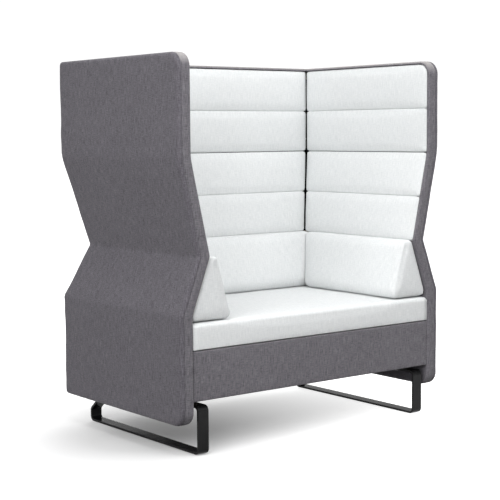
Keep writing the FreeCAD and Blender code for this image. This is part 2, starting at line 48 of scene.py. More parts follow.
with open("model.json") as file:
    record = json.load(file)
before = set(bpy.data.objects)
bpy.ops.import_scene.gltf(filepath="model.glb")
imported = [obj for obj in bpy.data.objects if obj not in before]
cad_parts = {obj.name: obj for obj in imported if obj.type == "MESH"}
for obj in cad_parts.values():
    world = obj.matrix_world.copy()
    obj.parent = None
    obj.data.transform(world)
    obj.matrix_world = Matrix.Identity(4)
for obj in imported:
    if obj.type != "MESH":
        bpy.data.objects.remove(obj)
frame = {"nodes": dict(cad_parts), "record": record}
CAD_LOW, CAD_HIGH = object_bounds()

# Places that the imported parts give
HALF_WIDTH = CAD_HIGH.x
FRONT = CAD_LOW.y
REAR = CAD_HIGH.y
TOP = CAD_HIGH.z
PANEL_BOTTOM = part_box("left_panel_cover")[0].z
SIDE_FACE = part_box("base_border")[1].x
PANEL = HALF_WIDTH - SIDE_FACE
REAR_FACE = REAR - PANEL
ANGLE_LEG = 0.022
WAIST_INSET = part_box("left_corner_angle")[1].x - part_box("left_corner_angle")[0].x - ANGLE_LEG
POCKET_FLOOR = HALF_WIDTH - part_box("right_pad_1")[1].x
BASE_LOW, BASE_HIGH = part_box("base_border")
SEAT_LOW, SEAT_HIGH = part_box("seat_cushion")
WEDGE_LOW, WEDGE_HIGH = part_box("back_cushion")
ARM_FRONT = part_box("left_arm_cushion")[0].y

# Folds of the panels: height, and how far to each side of it the cloth bends
LOWER_FOLD = (0.498, 0.007)
WAIST = (0.699, 0.005)
UPPER_FOLD = (1.040, 0.022)
UPPER_RISE = UPPER_FOLD[0] - WAIST[0]
UPPER_ANGLE = math.atan2(WAIST_INSET, UPPER_RISE)

# Upholstery of the panels: outer edge, rim round the recess for the padded rows, seams, and numbers of the
# cloths on their faces. The edge band's cloth is a lighter copy of the outer cloth, as painted light.
PANEL_CORNER = 0.050
PANEL_EDGE = 0.013
RIM_EDGE = 0.0105
POCKET_RIM = 0.6955
POCKET_DROP = 0.0055
POCKET_DROP_RUN = 0.030
BAND_SEAM = 0.018
LINING_START = 0.060
SEAM_DEPTH = 0.0022
SEAM_WIDTH = 0.0030
BACK_CORNER = 0.010
MITRE_RUN = 0.16
PANEL_STEP = 0.012
HAIR = 0.0004
MERGE = 0.00002
OUTER_CLOTH, LINING, EDGE_BAND_PAINTED_LIGHT = range(3)

# Extra grid lines at a fold, in shares of its bend, and at a rear corner, in metres from it. Even lines keep
# clear of them by a share of their step. A rounded edge has so many lines.
FOLD_LINES = (-1.2, -0.5, 0.5, 1.2)
CORNER_LINES = (0.001, 0.002, 0.004, 0.007, BACK_CORNER, 0.018)
LINE_CLEARANCE = 0.4
EDGE_LINES = 7

# Padded rows. Their edge turns by so many degrees, and is narrower by a share at head and foot and at the
# ends that meet in a corner. The foot lists how far it draws in, and its height. The corner gaps go from the
# top row down.
PAD = 0.034
PAD_CROWN = 0.006
PAD_CROWN_RUN = 0.09
PAD_CROWN_POWER = 0.6
PAD_FOOT = ((0.0, 0.008), (0.001, 0.002), (0.003, 0.0))
PAD_EDGE = 0.012
PAD_EDGE_DEPTH = 0.0045
PAD_EDGE_TURN = 62
PAD_CORNER = 0.012
PAD_FRONT_CORNER = 0.042
PAD_ROW_GAP = 0.0002
PAD_LEVEL_EDGE = 0.45
PAD_END_EDGE = 0.35
PAD_TOP_MARGIN = 0.0130
PAD_FRONT_MARGIN = 0.0085
PAD_WAIST_LAP = 0.007
# Painted shade: black cloth over the side rows' front ends, for the shadow in the groove by the edge band.
PAD_END_SHADE = 0.0032
PAD_END_SHADE_DEPTH = 0.0027
PAD_CORNER_GAPS = (0.0001, 0.0004, 0.0014, 0.0022)
PAD_STEP = 0.009

# Loose cushions
CUSHION_STEP = 0.012
WEDGE_TOP_THICKNESS = 0.036
WEDGE_NOSE = 0.180
WEDGE_BULGE = 0.007
WEDGE_END_BULGE = 0.35
WEDGE_END_RUN = 0.10
WEDGE_CORNERS = (0.006, 0.014, 0.006, 0.006)
WEDGE_EDGE = 0.010
ARM_END_EDGE = 0.020
ARM_REAR_GAP = 0.007
WEDGE_CREST = 0.004
WEDGE_CREST_RUN = 0.030
CUSHION_GAP = 0.0015
SEAT_EDGE = 0.016
SEAT_SIDE = 0.55
SEAT_FOOT = 0.004
SEAT_CROWN = 0.006
SEAT_FALL = 0.004
SEAT_FALL_RUN = 0.260
SEAT_BULGE = 0.0008
SEAT_LIFT = 0.0030
SEAT_LIFT_RUN = 0.080

# Border of the seat base, and dust cover under its frame
BORDER_EDGE = 0.004
BORDER_EDGE_LINES = 5
DUST_SAG = 0.004
DUST_SAG_POWER = 0.7
DUST_THICKNESS = 0.0008
DUST_STEP = 0.025

# How far cloth may swell from its starting shape, over how many frames, and its settings
PAD_SWELL = 0.0020
WEDGE_SWELL = 0.0035
SEAT_SWELL = 0.0014
SWELL_FRAMES = 16
SWELL_CLOTH = {
    "quality": 4,
    "mass": 0.3,
    "tension_stiffness": 12.0,
    "compression_stiffness": 12.0,
    "shear_stiffness": 4.0,
    "bending_stiffness": 0.6,
    "use_pressure": True,
    "uniform_pressure_force": 4.0,
}
LEAST_MOVE = 1e-9

# Unevenness of soft faces as height and size of waves, how the waves add up, and where the random draws start
PANEL_LUMPS = ((0.0007, 0.16), (0.0004, 0.05))
PAD_LUMP = (0.0007, 0.11)
WEDGE_LUMP = (0.0010, 0.13)
SEAT_LUMP = (0.0008, 0.16)
BORDER_LUMP = (0.0006, 0.14)
DUST_RUCK = (0.0006, 0.09)
WAVES = 8
WAVE_SIZES = (0.7, 1.6)
WAVE_SUM = 4
SEEDS = {"side_panel": 3, "back_panel": 5, "left_row": 20, "back_row": 40, "back_wedge": 61, "arm_wedge": 63,
         "seat": 67, "border": 71, "dust_cover": 83}

# Weaves: pitch of the threads, width and length of the yarns' streaks, and half the stretch of the shades
GREY_WEAVE = {"pitch": 0.0016, "streaks": (0.0026, 0.036), "contrast": 0.125}
PALE_WEAVE = {"pitch": 0.0014, "streaks": (0.0029, 0.036), "contrast": 0.15}
BLACK_WEAVE = {"pitch": 0.0020, "streaks": (0.0030, 0.020), "contrast": 0.2}

# Cloth: gloss, length of the level yarns against the upright ones, scales of specks and clouds, what each
# adds to the shade and the relief, and how far a face turns up where its painted top light begins to show,
# and shows most
CLOTH_ROUGHNESS = 0.95
CLOTH_SHINE = 0.15
SHEEN_ROUGHNESS = 0.45
LEVEL_YARN = 0.6
SPECK_SCALE = 420.0
CLOUD_SCALE = 4.5
CLOTH_SHADES = {"upright": 0.48, "level": 0.34, "speck": 0.14, "cloud": 0.04, "thread": 0.03}
CLOTH_RELIEF = {"thread": 0.5, "upright": 1.4}
CLOTH_BUMP = 0.35
TOP_LIGHT_TURN = (0.15, 0.85)

# Timber and coated parts: scales of grain and clouds, relief as height and strength, how far the gloss of a
# coat varies, and the stretch of the noise that shades and clouds follow
GRAIN_SCALE = (4.0, 4.0, 60.0)
FINE_GRAIN_SCALE = 6.0
GRAIN_SHADES = {"broad": 0.7, "fine": 0.3}
GRAIN_RELIEF = (0.0006, 0.3)
COAT_CLOUD_SCALE = 18.0
COAT_RELIEF = (0.0002, 0.04)
COAT_GLOSS = (-0.03, 0.04)
SHADE_STRETCH = (0.35, 0.65)
CLOUD_STRETCH = (0.3, 0.7)

# The photograph's camera, in its 500 pixel frame
IMAGE = 500
FOCAL_PIXELS = 1291.25
CENTRE_PIXEL = (250.83, 253.59)
CAMERA_PLACE = Vector((-3.1051, -4.0022, 1.1264))
CAMERA_AZIMUTH = math.radians(-37.72)
CAMERA_ELEVATION = math.radians(5.37)
CAMERA_ROLL = math.radians(-0.43)
SENSOR = 36.0

# Studio: sky brightness by the sine of elevation, and lights as place, target, size and power. The floor
# glows as painted light, and less round the centre of a painted shadow, from the nearer distance of its fade
# to the farther.
SKY = ((-0.10, 0.05), (-0.05, 1.06), (0.11, 1.06), (0.20, 0.41))
FLOOR_ROUGHNESS = 0.9
FLOOR_CLOUD_SCALE = 1.5
FLOOR_SHADES = (0.72, 0.76)
FLOOR_GLOWS = (0.05, 1.05)
FLOOR_SHADOW_CENTRE = (-0.60, -0.05, 0.0)
FLOOR_FADE = (0.15, 1.40)
FLOOR_REACH = 60.0
LIGHTS = {
    "top_light": ((-0.3, -0.5, 4.2), (0.0, 0.0, 0.5), (2.6, 2.6), 41),
    "front_light": ((0.1, -2.3, 3.0), (0.0, 0.0, 0.6), (3.2, 3.0), 59),
    "main_light": ((-4.5, -2.4, 2.7), (0.0, 0.0, 0.8), (3.6, 3.2), 215),
    "fill_light": ((2.4, -3.8, 1.8), (0.0, 0.0, 0.6), (2.4, 2.0), 20),
    "rear_light": ((2.4, 3.6, 3.0), (0.0, 0.0, 0.8), (2.4, 2.4), 90),
}


# Meshes


def piece_from(name, points, faces, merge=False, materials=None):
    """A smooth closed mesh with its faces turned outwards, and if asked with its meeting points merged.

    materials gives the number of each face's material, where it isn't the first for all.
    """
    mesh = bpy.data.meshes.new(name)
    mesh.from_pydata([tuple(p) for p in points], [], faces)
    if materials is not None:
        mesh.polygons.foreach_set("material_index", materials)
    made = bmesh.new()
    made.from_mesh(mesh)
    if merge:
        bmesh.ops.remove_doubles(made, verts=made.verts, dist=MERGE)
    bmesh.ops.recalc_face_normals(made, faces=made.faces)
    made.to_mesh(mesh)
    made.free()
    mesh.polygons.foreach_set("use_smooth", [True] * len(mesh.polygons))
    piece = bpy.data.objects.new(name, mesh)
    bpy.context.scene.collection.objects.link(piece)
    return piece


def mirrored(piece, name):
    """The right-hand twin of a left-hand piece."""
    points = [(-v.co.x, v.co.y, v.co.z) for v in piece.data.vertices]
    faces = [tuple(face.vertices) for face in piece.data.polygons]
    return piece_from(name, points, faces, False, [face.material_index for face in piece.data.polygons])


def lines(low, high, step, extra=()):
    """Grid lines from low to high, about a step apart, with some more at given places."""
    even = np.linspace(low, high, max(2, round((high - low) / step) + 1))
    near = [e for e in extra if low < e < high]
    kept = [x for x in even[1:-1] if all(abs(x - e) > LINE_CLEARANCE * step for e in near)]
    return np.array(sorted([low, high] + kept + near))


def turns(degrees=90, count=EDGE_LINES):
    """Angles of the lines round an edge."""
    return np.radians(np.linspace(0, degrees, count))


def rounded(out, deep, count=EDGE_LINES):
    """Profile of an edge from its first face over to its wall, which stands out by the given length."""
    return [(out * math.sin(a), deep * (1 - math.cos(a))) for a in turns(count=count)]


def rounded_off(out, end, radius):
    """Profile of an edge from its wall over to its second face, at the depth where the wall ends."""
    return [(out - radius * (1 - math.cos(a)), end - radius * (1 - math.sin(a))) for a in turns()]


def slab(ss, ts, radii, sides, profile):
    """Two grids joined round their rim, as points (s, t, w) and faces.

    radii are the corners' radii, from low s and low t on round by high s. sides says how far the rim stands
    out at low t, high s, high t and low s. profile lists (out, w) from the first grid to the second.
    """
    s, t = np.meshgrid(ss, ts, indexing="ij")
    out_s, out_t = np.zeros_like(s), np.zeros_like(t)
    out_t[:, 0] = -sides[0]
    out_s[-1, :] = sides[1]
    out_t[:, -1] = sides[2]
    out_s[0, :] = -sides[3]
    for way_s, way_t, radius in zip((-1, 1, 1, -1), (-1, -1, 1, 1), radii):
        if radius == 0:
            continue
        centre_s = (ss[-1] if way_s > 0 else ss[0]) - way_s * radius
        centre_t = (ts[-1] if way_t > 0 else ts[0]) - way_t * radius
        a = way_s * (s - centre_s) / radius
        b = way_t * (t - centre_t) / radius
        inside = (a > 0) & (b > 0)
        round_a = a * np.sqrt(np.clip(1 - b * b / 2, 0, 1))
        round_b = b * np.sqrt(np.clip(1 - a * a / 2, 0, 1))
        s = np.where(inside, centre_s + way_s * radius * round_a, s)
        t = np.where(inside, centre_t + way_t * radius * round_b, t)
        out_s = np.where(inside, way_s * round_a * (sides[1] if way_s > 0 else sides[3]), out_s)
        out_t = np.where(inside, way_t * round_b * (sides[2] if way_t > 0 else sides[0]), out_t)

    rows, columns = len(ss), len(ts)
    rim = [(i, 0) for i in range(rows)] + [(rows - 1, j) for j in range(1, columns)]
    rim += [(i, columns - 1) for i in range(rows - 2, -1, -1)] + [(0, j) for j in range(columns - 2, 0, -1)]
    at = tuple(np.array(rim).T)

    def grid(w):
        return np.stack([s.ravel(), t.ravel(), np.full(s.size, w)], axis=1)

    layers = [grid(profile[0][1]), grid(profile[-1][1])]
    first = [i * columns + j for i, j in rim]
    loops = [first]
    start = 2 * s.size
    for out, w in profile[1:-1]:
        edge_s, edge_t = s[at] + out * out_s[at], t[at] + out * out_t[at]
        layers.append(np.stack([edge_s, edge_t, np.full(len(rim), w)], axis=1))
        loops.append(list(range(start, start + len(rim))))
        start += len(rim)
    loops.append([s.size + k for k in first])

    faces = []
    for base in (0, s.size):
        for i in range(rows - 1):
            for j in range(columns - 1):
                k = base + i * columns + j
                faces.append((k, k + columns, k + columns + 1, k + 1))
    for one, two in zip(loops, loops[1:]):
        for k in range(len(rim)):
            n = (k + 1) % len(rim)
            faces.append((one[k], one[n], two[n], two[k]))
    return np.concatenate(layers), faces


def ripple(points, lump, seed):
    """Gentle unevenness up to about the height of a lump, with waves of about its size."""
    height, size = lump
    rng = np.random.default_rng(seed)
    total = np.zeros(len(points))
    for _ in range(WAVES):
        way = rng.normal(size=3)
        way /= np.linalg.norm(way)
        wave = size * rng.uniform(*WAVE_SIZES)
        total += np.sin(points @ way * (2 * math.pi / wave) + rng.uniform(0, 2 * math.pi))
    return height * (total / WAVE_SUM)


def swell(piece, held, most):
    """Blow a closed soft piece up a little as cloth, with its held points fixed, and keep the result."""
    scene = bpy.context.scene
    group = piece.vertex_groups.new(name="held")
    group.add([int(k) for k in np.nonzero(held)[0]], 1.0, "REPLACE")
    cloth = piece.modifiers.new("swell", "CLOTH")
    for setting, value in SWELL_CLOTH.items():
        setattr(cloth.settings, setting, value)
    cloth.settings.vertex_group_mass = "held"
    cloth.settings.effector_weights.gravity = 0.0
    cloth.collision_settings.use_collision = False
    for at in range(1, SWELL_FRAMES + 1):
        scene.frame_set(at)
    count = len(piece.data.vertices)
    before = np.empty(count * 3)
    piece.data.vertices.foreach_get("co", before)
    blown = piece.evaluated_get(bpy.context.evaluated_depsgraph_get()).data
    after = np.empty(count * 3)
    blown.vertices.foreach_get("co", after)
    before, after = before.reshape(-1, 3), after.reshape(-1, 3)
    move = after - before
    size = np.linalg.norm(move, axis=1, keepdims=True)
    move *= most * np.tanh(size / most) / np.maximum(size, LEAST_MOVE)
    piece.modifiers.remove(cloth)
    piece.vertex_groups.remove(group)
    piece.data.vertices.foreach_set("co", (before + move).ravel())
    piece.data.update()
    scene.frame_set(1)


# Panels


def ramp(x, reach):
    """0 before a fold and x after it, bent smoothly within reach of it."""
    bent = (x + reach) ** 2 / (4 * reach)
    return np.where(x < -reach, 0.0, np.where(x > reach, x, bent))


def inset(z):
    """How far a panel's faces stand in from their upright parts, at height z."""
    lower = WAIST_INSET / (WAIST[0] - LOWER_FOLD[0])
    upper = WAIST_INSET / UPPER_RISE
    bends = ((LOWER_FOLD, lower), (WAIST, -lower - upper), (UPPER_FOLD, upper))
    return sum(slope * ramp(z - fold, reach) for (fold, reach), slope in bends)


def fold_lines():
    """Heights of the grid lines at the folds."""
    return [z + share * reach for z, reach in (LOWER_FOLD, WAIST, UPPER_FOLD) for share in FOLD_LINES]


def panel_profile():
    """Rim of a panel from its outer face to the floor of its recess, with the seam of the edge band."""
    edge, rim = PANEL_EDGE, RIM_EDGE
    outer = rounded(edge, edge)
    seam = [(edge, BAND_SEAM - SEAM_WIDTH), (edge - SEAM_DEPTH / 2, BAND_SEAM - SEAM_WIDTH / 3),
            (edge - SEAM_DEPTH, BAND_SEAM), (edge - SEAM_DEPTH / 2, BAND_SEAM + SEAM_WIDTH / 3),
            (edge, BAND_SEAM + SEAM_WIDTH)]
    middle = [(edge + HAIR, (BAND_SEAM + PANEL - rim) / 2)]
    inner = rounded_off(edge, PANEL, rim)
    floor = 2 * PANEL - POCKET_FLOOR
    return outer + seam + middle + inner + [(edge - rim - HAIR, floor), (0.0, floor)]


def recessed(w, z):
    """Depth and height of places that are given by their depth unfolded over the rim.

    The recess starts at the waist. Below it, the inner face stays flat.
    """
    beyond = w > PANEL + HAIR / 2
    above = z > POCKET_RIM + HAIR / 2
    depth = np.where(beyond, np.where(above, 2 * PANEL - w, PANEL), w)
    drop = POCKET_DROP * np.clip(1 - (z - POCKET_RIM) / POCKET_DROP_RUN, 0, 1)
    return depth, np.where(beyond & above, z - drop, z)


def to_floor(w, z, at_mitre):
    """Depth without a rim along a mitre, where the recesses of two panels run into each other."""
    inside = at_mitre & (z > POCKET_RIM - POCKET_DROP) & (z < TOP - PANEL_EDGE)
    return np.where(inside, np.minimum(w, POCKET_FLOOR), w)


def corner_rounding(distance, w):
    """How far the outer cloth draws in, at a distance from a rear corner, for its rounding and its seam."""
    near = np.clip(distance, 0, BACK_CORNER)
    angle = np.arccos(near / (math.sqrt(2) * BACK_CORNER)) - math.pi / 4
    drawn = BACK_CORNER * (1 - np.cos(angle)) + SEAM_DEPTH * np.clip(1 - distance / SEAM_WIDTH, 0, 1) ** 2
    return drawn * np.clip(1 - w / BACK_CORNER, 0, 1)


def corner_lines(end, way):
    """Grid lines close to a rear corner, from its end inwards."""
    return [end - way * distance for distance in CORNER_LINES]


def soften(points, w, seed):
    """Unevenness of the padding under the cloth, as a change of w, the depth from the outer face."""
    lumps = sum(ripple(points, lump, seed + k) for k, lump in enumerate(PANEL_LUMPS))
    return np.where(w < PANEL / 2, lumps, 0.0)


def panel_lines():
    """Heights of a panel's grid lines."""
    return lines(PANEL_BOTTOM + PANEL_EDGE, TOP - PANEL_EDGE, PANEL_STEP,
                 fold_lines() + [POCKET_RIM, POCKET_RIM + HAIR])


def side_panel(side, way):
    """A side panel, from its front edge back to its mitre with the back panel."""
    length = REAR - FRONT
    ss = lines(PANEL_EDGE, length, PANEL_STEP, corner_lines(length, 1))
    radius = PANEL_CORNER - PANEL_EDGE
    points, faces = slab(ss, panel_lines(), (radius, 0, 0, radius), (1, 0, 1, 1), panel_profile())
    s, z, unfolded = points.T
    w, z = recessed(unfolded, z)
    w = to_floor(w, z, s > length - MERGE)
    w = w + soften(points, unfolded, SEEDS["side_panel"]) + corner_rounding(length - s, w)
    depth = inset(z) + w
    share = np.clip((s - length + MITRE_RUN) / MITRE_RUN, 0, 1)
    placed = np.stack([way * (HALF_WIDTH - depth), FRONT + s - share * depth, z], axis=1)
    return piece_from(f"{side}_panel", placed, faces, True, panel_materials(points, faces, LINING_START))


def back_panel():
    """The back panel, from mitre to mitre."""
    corners = corner_lines(HALF_WIDTH, 1) + corner_lines(-HALF_WIDTH, -1)
    ss = lines(-HALF_WIDTH, HALF_WIDTH, PANEL_STEP, corners)
    points, faces = slab(ss, panel_lines(), (0, 0, 0, 0), (1, 0, 1, 0), panel_profile())
    s, z, unfolded = points.T
    w, z = recessed(unfolded, z)
    w = to_floor(w, z, np.abs(s) > HALF_WIDTH - MERGE)
    w = w + soften(points, unfolded, SEEDS["back_panel"]) + corner_rounding(HALF_WIDTH - np.abs(s), w)
    depth = inset(z) + w
    share = np.clip((np.abs(s) - HALF_WIDTH + MITRE_RUN) / MITRE_RUN, 0, 1)
    placed = np.stack([s - np.sign(s) * share * depth, REAR - depth, z], axis=1)
    return piece_from("back_panel", placed, faces, True, panel_materials(points, faces, -HALF_WIDTH))


def panel_materials(points, faces, lining_start):
    """Materials of a panel's faces: outer cloth, pale lining behind the wedge cushions, and edge band, whose
    cloth is a lighter copy of the outer cloth as painted light.
    """
    numbers = []
    for face in faces:
        s, z, depth = points[list(face)].mean(axis=0)
        inside = depth > PANEL and SEAT_LOW.z < z < POCKET_RIM
        if inside and s > lining_start:
            numbers.append(LINING)
        elif inside or BAND_SEAM < depth < PANEL + HAIR:
            numbers.append(EDGE_BAND_PAINTED_LIGHT)
        else:
            numbers.append(OUTER_CLOTH)
    return numbers


# Padded rows


def pad_rows():
    """Lean, height, and place of the foot on its board, of each padded row, from the top row down."""
    trim = PAD * math.tan(UPPER_ANGLE / 2) + PAD_ROW_GAP / 2
    foot = UPPER_FOLD[0] + trim
    upright = (TOP - PAD_TOP_MARGIN - foot - PAD_ROW_GAP) / 2
    sloped = (math.hypot(WAIST_INSET, UPPER_RISE) - trim + PAD_WAIST_LAP - PAD_ROW_GAP) / 2
    rows = []
    for step in (1, 0):
        rows.append({"lean": 0.0, "height": upright, "depth": POCKET_FLOOR,
                     "z": foot + step * (upright + PAD_ROW_GAP)})
    for step in (1, 0):
        along = step * (sloped + PAD_ROW_GAP) - PAD_WAIST_LAP
        rows.append({"lean": UPPER_ANGLE, "height": sloped,
                     "depth": POCKET_FLOOR + WAIST_INSET - along * math.sin(UPPER_ANGLE),
                     "z": WAIST[0] + along * math.cos(UPPER_ANGLE)})
    for row, gap in zip(rows, PAD_CORNER_GAPS):
        row["corner_gap"] = gap
    return rows


def pad_profile():
    """Rim of a pad from its front to its back."""
    angles = turns(PAD_EDGE_TURN)
    outs = PAD_EDGE * np.sin(angles) / math.sin(angles[-1])
    falls = PAD_EDGE_DEPTH * (1 - np.cos(angles)) / (1 - math.cos(angles[-1]))
    front = [(out, PAD - PAD_CROWN - fall) for out, fall in zip(outs, falls)]
    return front + [(PAD_EDGE - drawn, w) for drawn, w in PAD_FOOT] + [(0.0, 0.0)]


def pad_points(row, low, high, radii, ends, seed):
    """A crowned pad as places along, up and out of its panel; low and high are its ends at foot and head.

    ends says how round the pad is at its low and its high end, as a share of PAD_EDGE.
    """
    height = row["height"]
    length = high[0] - low[0]
    edge = PAD_EDGE
    level = edge * PAD_LEVEL_EDGE
    ss = lines(edge * ends[0], length - edge * ends[1], PAD_STEP)
    ts = lines(level, height - level, PAD_STEP)
    sides = (PAD_LEVEL_EDGE, ends[1], PAD_LEVEL_EDGE, ends[0])
    points, faces = slab(ss, ts, [r - level for r in radii], sides, pad_profile())
    s, t, w = points.T
    across = np.clip(1 - (2 * t / height - 1) ** 2, 0, 1)
    end = np.clip(np.minimum(s, length - s) / PAD_CROWN_RUN, 0, 1)
    crown = PAD_CROWN * across ** PAD_CROWN_POWER * (1 - (1 - end) ** 2)
    lump = ripple(points, PAD_LUMP, seed) * across
    w = np.where(w > PAD / 3, w + crown + lump, w)
    share = t / height
    lows = low[0] + (low[1] - low[0]) * share
    highs = high[0] + (high[1] - high[0]) * share
    return np.stack([lows + (highs - lows) * s / length, t, w], axis=1), faces


def end_depth(row, along):
    """How far in from a panel's outer face the pads of the next panel reach, at a place up a row."""
    z = row["z"] + along * math.cos(row["lean"]) + PAD * math.sin(row["lean"])
    return float(inset(z)) + POCKET_FLOOR + (PAD - PAD_CROWN) / math.cos(row["lean"]) + row["corner_gap"]


def stand_up(points, row):
    """Depth from the panel's outer face, and height, of places up and out of a row."""
    lean = row["lean"]
    t, w = points[:, 1], points[:, 2]
    depth = row["depth"] - t * math.sin(lean) + w * math.cos(lean)
    return depth, row["z"] + t * math.cos(lean) + w * math.sin(lean)


def swell_pad(pad, points):
    """Swell the front of a pad, and hold the rest of it."""
    swell(pad, points[:, 2] < PAD - PAD_CROWN - PAD_EDGE_DEPTH / 2, PAD_SWELL)


def left_pads():
    """Rows of the left panel, from the top down, with painted shade in black cloth at their front ends."""
    pads = []
    for number, row in enumerate(pad_rows(), 1):
        rears = [REAR - end_depth(row, along) for along in (0.0, row["height"])]
        fronts = [FRONT + PAD_FRONT_MARGIN] * 2
        head = PAD_FRONT_CORNER if number == 1 else PAD_CORNER
        radii = (PAD_CORNER, PAD_CORNER, PAD_CORNER, head)
        points, faces = pad_points(row, fronts, rears, radii, (1, PAD_END_EDGE), SEEDS["left_row"] + number)
        depth, z = stand_up(points, row)
        placed = np.stack([depth - HALF_WIDTH, points[:, 0], z], axis=1)
        along, _, out = np.array([points[list(face)].mean(axis=0) for face in faces]).T
        # Painted shade: the front end faces, and the end wall below the rounding near the front corner, take
        # black cloth.
        corner = (along < fronts[0] + PAD_CORNER) & (out < PAD - PAD_CROWN - PAD_END_SHADE_DEPTH)
        painted_end_shade = (along < fronts[0] + PAD_END_SHADE) | corner
        pad = piece_from(f"left_row_{number}", placed, faces, False, painted_end_shade.astype(int))
        swell_pad(pad, points)
        pads.append(pad)
    return pads


def back_pads():
    """Rows of the back panel, from the top down."""
    pads = []
    for number, row in enumerate(pad_rows(), 1):
        highs = [HALF_WIDTH - end_depth(row, along) for along in (0.0, row["height"])]
        lows = [-x for x in highs]
        radii, ends = [PAD_CORNER] * 4, [PAD_END_EDGE] * 2
        points, faces = pad_points(row, lows, highs, radii, ends, SEEDS["back_row"] + number)
        depth, z = stand_up(points, row)
        placed = np.stack([points[:, 0], REAR - depth, z], axis=1)
        pad = piece_from(f"back_row_{number}", placed, faces)
        swell_pad(pad, points)
        pads.append(pad)
    return pads


# Loose cushions


def wedge_points(length, end_edge, seed):
    """A wedge cushion as depth from the panel's upright inner face, height, and place along its length.

    end_edge is how far the rounding of its ends runs along it.
    """
    low, high = WEDGE_LOW.z, WEDGE_HIGH.z
    height = high - low
    edge = WEDGE_EDGE
    ss = lines(edge, WEDGE_NOSE - edge, CUSHION_STEP)
    ts = lines(edge, height - edge, CUSHION_STEP)
    cap = rounded(edge, end_edge)
    walls = [(edge, w) for w in lines(end_edge, length - end_edge, CUSHION_STEP)[1:-1]]
    profile = cap + walls + [(out, length - w) for out, w in reversed(cap)]
    points, faces = slab(ss, ts, WEDGE_CORNERS, (1, 1, 1, 1), profile)
    s, t, w = points.T
    share = s / WEDGE_NOSE
    crest = np.clip((t - height) / WEDGE_CREST_RUN + 1, 0, 1)
    z = low + t - WEDGE_CREST * crest * np.abs(2 * share - 1) ** 3
    back = inset(z) + CUSHION_GAP
    nose = WEDGE_NOSE + (WAIST_INSET + WEDGE_TOP_THICKNESS - WEDGE_NOSE) * t / height
    belly = np.clip(1 - (2 * t / height - 1) ** 2, 0, 1)
    ends = np.clip(np.minimum(w, length - w) / WEDGE_END_RUN, 0, 1)
    front = nose + WEDGE_BULGE * belly * (WEDGE_END_BULGE + (1 - WEDGE_END_BULGE) * (1 - (1 - ends) ** 2))
    lump = ripple(points, WEDGE_LUMP, seed) * belly * np.clip(share * 2 - 1, 0, 1)
    return np.stack([back + (front - back) * share + lump, z, w], axis=1), faces


def wedge_held(depth, z):
    """Points of a wedge cushion that lie on the seat or against the panel."""
    return (z < WEDGE_LOW.z + WEDGE_EDGE / 2) | (depth < inset(z) + WEDGE_EDGE)


def back_cushion():
    """The wedge cushion at the back, between the side panels, whose fold its ends follow."""
    length = WEDGE_HIGH.x - WEDGE_LOW.x - 2 * CUSHION_GAP
    points, faces = wedge_points(length, WEDGE_EDGE, SEEDS["back_wedge"])
    depth, z, w = points.T
    half = length / 2 - inset(z)
    placed = np.stack([(2 * w / length - 1) * half, REAR_FACE - depth, z], axis=1)
    piece = piece_from("back_wedge", placed, faces)
    swell(piece, wedge_held(depth, z), WEDGE_SWELL)
    return piece


def left_arm_cushion():
    """The left wedge cushion, from the front to the slope of the back cushion."""
    low, high = WEDGE_LOW.z, WEDGE_HIGH.z
    head_rear = REAR_FACE - WAIST_INSET - WEDGE_TOP_THICKNESS - WEDGE_BULGE - ARM_REAR_GAP
    foot_rear = REAR_FACE - WEDGE_NOSE - WEDGE_BULGE - ARM_REAR_GAP
    length = foot_rear - ARM_FRONT
    points, faces = wedge_points(length, ARM_END_EDGE, SEEDS["arm_wedge"])
    depth, z, w = points.T
    rear = foot_rear + (head_rear - foot_rear) * (z - low) / (high - low)
    placed = np.stack([depth - SIDE_FACE, ARM_FRONT + (rear - ARM_FRONT) * w / length, z], axis=1)
    piece = piece_from("left_arm_wedge", placed, faces)
    swell(piece, wedge_held(depth, z) | (w > length - ARM_END_EDGE), WEDGE_SWELL)
    return piece


def seat_cushion():
    """The seat, crowned between the wedge cushions, with a soft front edge that falls a little."""
    edge, side, foot = SEAT_EDGE, SEAT_EDGE * SEAT_SIDE, SEAT_FOOT
    level = WEDGE_LOW.z - CUSHION_GAP
    height = level - SEAT_LOW.z
    length = SEAT_HIGH.x - SEAT_LOW.x
    depth = SEAT_HIGH.y - BASE_LOW.y
    ss = lines(side, length - side, CUSHION_STEP)
    ts = lines(edge, depth - side, CUSHION_STEP)
    walls = [(edge, w) for w in lines(edge, height - foot, CUSHION_STEP)[1:-1]]
    profile = rounded(edge, edge) + walls + rounded_off(edge, height, foot) + [(0.0, height)]
    sides = (1, SEAT_SIDE, SEAT_SIDE, SEAT_SIDE)
    points, faces = slab(ss, ts, (0, 0, 0, 0), sides, profile)
    s, t, w = points.T
    share = 1 - w / height
    across = np.clip(1 - ((s - length / 2) / (length / 2 - WEDGE_NOSE)) ** 2, 0, 1)
    along = np.clip((depth - WEDGE_NOSE - t) / (depth - WEDGE_NOSE), 0, 1)
    crown = SEAT_CROWN * across * (1 - (2 * along - 1) ** 2).clip(0, 1)
    fall = SEAT_FALL * np.clip(1 - t / SEAT_FALL_RUN, 0, 1) ** 2
    lump = ripple(points, SEAT_LUMP, SEEDS["seat"]) * across
    bulge = SEAT_BULGE * np.clip(1 - (2 * share - 1) ** 2, 0, 1) * np.clip(1 - t / edge, 0, 1)
    lift = SEAT_LIFT * np.clip(1 - t / SEAT_LIFT_RUN, 0, 1) * np.clip(w / height, 0, 1)
    up = level - w + share * (crown - fall + lump) + lift
    placed = np.stack([SEAT_LOW.x + s, BASE_LOW.y + t - bulge, up], axis=1)
    piece = piece_from("seat", placed, faces)
    covered = (np.abs(placed[:, 0]) > SIDE_FACE - WEDGE_NOSE) | (placed[:, 1] > REAR_FACE - WEDGE_NOSE)
    swell(piece, (w > height - foot) | covered, SEAT_SWELL)
    return piece


